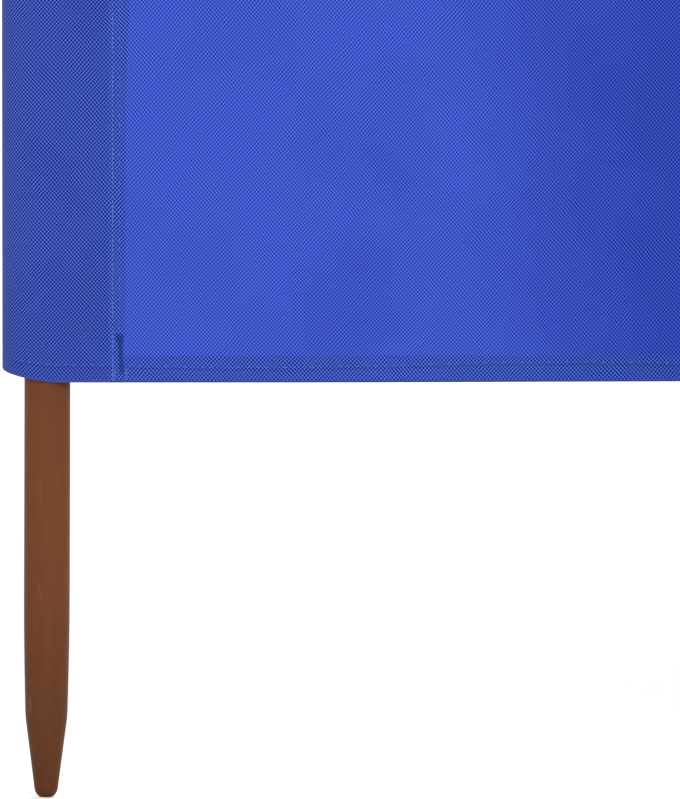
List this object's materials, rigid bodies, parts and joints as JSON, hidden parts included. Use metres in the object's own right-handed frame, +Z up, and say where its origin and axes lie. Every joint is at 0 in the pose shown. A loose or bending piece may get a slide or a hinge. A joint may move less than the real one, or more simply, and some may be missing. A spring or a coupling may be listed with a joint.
{
  "type": "beach windbreak",
  "caption": "Upright beach windbreak: bays of blue woven cloth between round brown wooden posts, held in sewn sleeves, with bare pointed spikes that push into the sand.",
  "frame": {"origin": "centre of the flat tip of the middle post", "axes": "+X along the windbreak to the right seen from the front, +Y to the back, +Z up along the posts"},
  "size_m": [4.0432, 0.025, 1.038],
  "materials": {
    "post_wood": "satin brown stain",
    "panel_cloth": "plain-woven blue cloth, single layer",
    "sleeve_cloth": "plain-woven blue cloth, doubled round the post",
    "hem_cloth": "plain-woven blue cloth, turned and stitched"
  },
  "bodies": {
    "root": {"post_1": "post_wood", "post_2": "post_wood", "post_3": "post_wood", "post_4": "post_wood", "post_5": "post_wood", "left_end_sleeve": "sleeve_cloth", "sleeve_2": "sleeve_cloth", "sleeve_3": "sleeve_cloth", "sleeve_4": "sleeve_cloth", "right_end_sleeve": "sleeve_cloth", "panel_1": "panel_cloth", "panel_2": "panel_cloth", "panel_3": "panel_cloth", "panel_4": "panel_cloth", "bottom_hem_1": "hem_cloth", "bottom_hem_2": "hem_cloth", "bottom_hem_3": "hem_cloth", "bottom_hem_4": "hem_cloth", "top_hem_1": "hem_cloth", "top_hem_2": "hem_cloth", "top_hem_3": "hem_cloth", "top_hem_4": "hem_cloth"}
  },
  "joints": []
}
